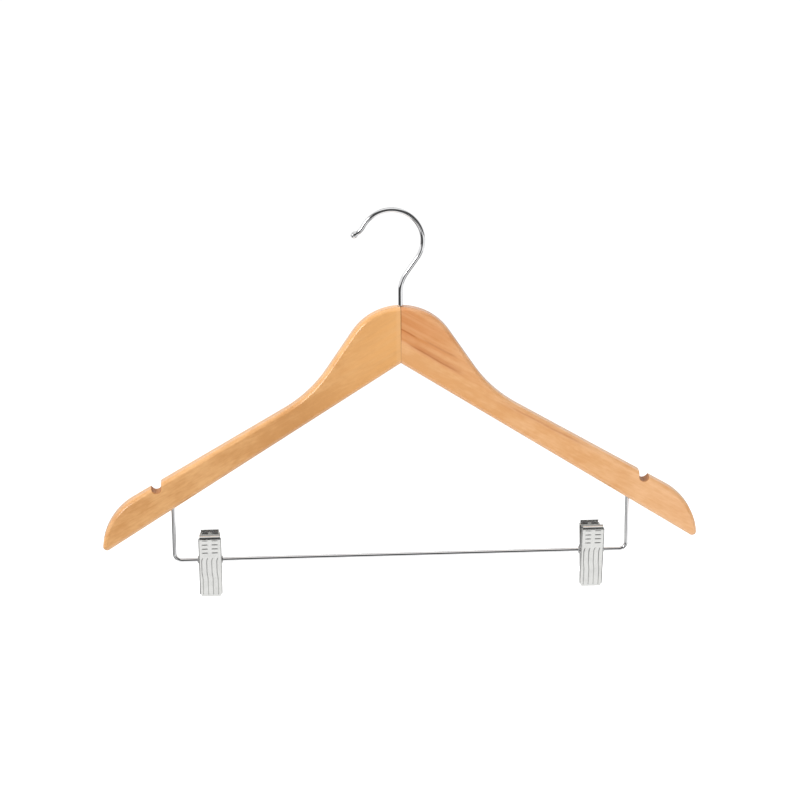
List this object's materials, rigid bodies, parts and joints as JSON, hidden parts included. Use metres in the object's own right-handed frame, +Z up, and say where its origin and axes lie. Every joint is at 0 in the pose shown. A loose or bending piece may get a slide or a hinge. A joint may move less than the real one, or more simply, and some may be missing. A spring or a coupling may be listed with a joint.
{
  "type": "skirt hanger",
  "caption": "Wooden clothes hanger with sloping shoulders, strap notches, a swivel wire hook and a wire bar carrying sliding sprung clips for skirts or trousers.",
  "frame": {"origin": "on the hook's swivel axis, level with the inside top of the hook where the rail bears", "axes": "+Z up along the swivel axis, +X along the shoulders to the right seen from the front, -Y to the front"},
  "size_m": [0.4446, 0.0242, 0.2952],
  "materials": {
    "left_board": "satin lacquer",
    "right_board": "satin lacquer",
    "hook_chrome": "polished",
    "bar_chrome": "polished",
    "clip_plate": "bright nickel",
    "plain_steel": "zinc plated",
    "spring_steel": "tempered",
    "lining": "matte"
  },
  "bodies": {
    "hook": {"hook_wire": "hook_chrome"},
    "shoulders": {"left_shoulder": "left_board", "right_shoulder": "right_board", "swivel_bush": "plain_steel", "swivel_washer": "plain_steel", "clip_bar": "bar_chrome"},
    "left_carrier": {"left_pivot_tube": "plain_steel"},
    "left_clip_back": {"left_back_jaw": "clip_plate", "left_back_pad": "lining", "left_spring": "spring_steel"},
    "left_clip_front": {"left_front_jaw": "clip_plate", "left_front_pad": "lining"},
    "right_carrier": {"right_pivot_tube": "plain_steel"},
    "right_clip_back": {"right_back_jaw": "clip_plate", "right_back_pad": "lining", "right_spring": "spring_steel"},
    "right_clip_front": {"right_front_jaw": "clip_plate", "right_front_pad": "lining"}
  },
  "joints": [
    {"name": "hook_swivel", "type": "hinge", "parent": "hook", "child": "shoulders", "pos_m": [0, 0, 0], "axis": [0, 0, 1], "continuous": true},
    {"name": "left_clip_slide", "type": "slide", "parent": "shoulders", "child": "left_carrier", "axis": [1, 0, 0], "range_m": [-0.011, 0.133]},
    {"name": "left_clip_swing", "type": "hinge", "parent": "left_carrier", "child": "left_clip_back", "pos_m": [-0.143, 0, -0.2631], "axis": [1, 0, 0], "continuous": true},
    {"name": "left_clip_open", "type": "hinge", "parent": "left_clip_back", "child": "left_clip_front", "pos_m": [-0.143, 0, -0.2631], "axis": [-1, 0, 0], "range_deg": [0, 34], "stiffness_Nm_per_rad": 0.1, "deforming": ["left_spring"]},
    {"name": "right_clip_slide", "type": "slide", "parent": "shoulders", "child": "right_carrier", "axis": [-1, 0, 0], "range_m": [-0.011, 0.133]},
    {"name": "right_clip_swing", "type": "hinge", "parent": "right_carrier", "child": "right_clip_back", "pos_m": [0.143, 0, -0.2631], "axis": [1, 0, 0], "continuous": true},
    {"name": "right_clip_open", "type": "hinge", "parent": "right_clip_back", "child": "right_clip_front", "pos_m": [0.143, 0, -0.2631], "axis": [-1, 0, 0], "range_deg": [0, 34], "stiffness_Nm_per_rad": 0.1, "deforming": ["right_spring"]}
  ]
}
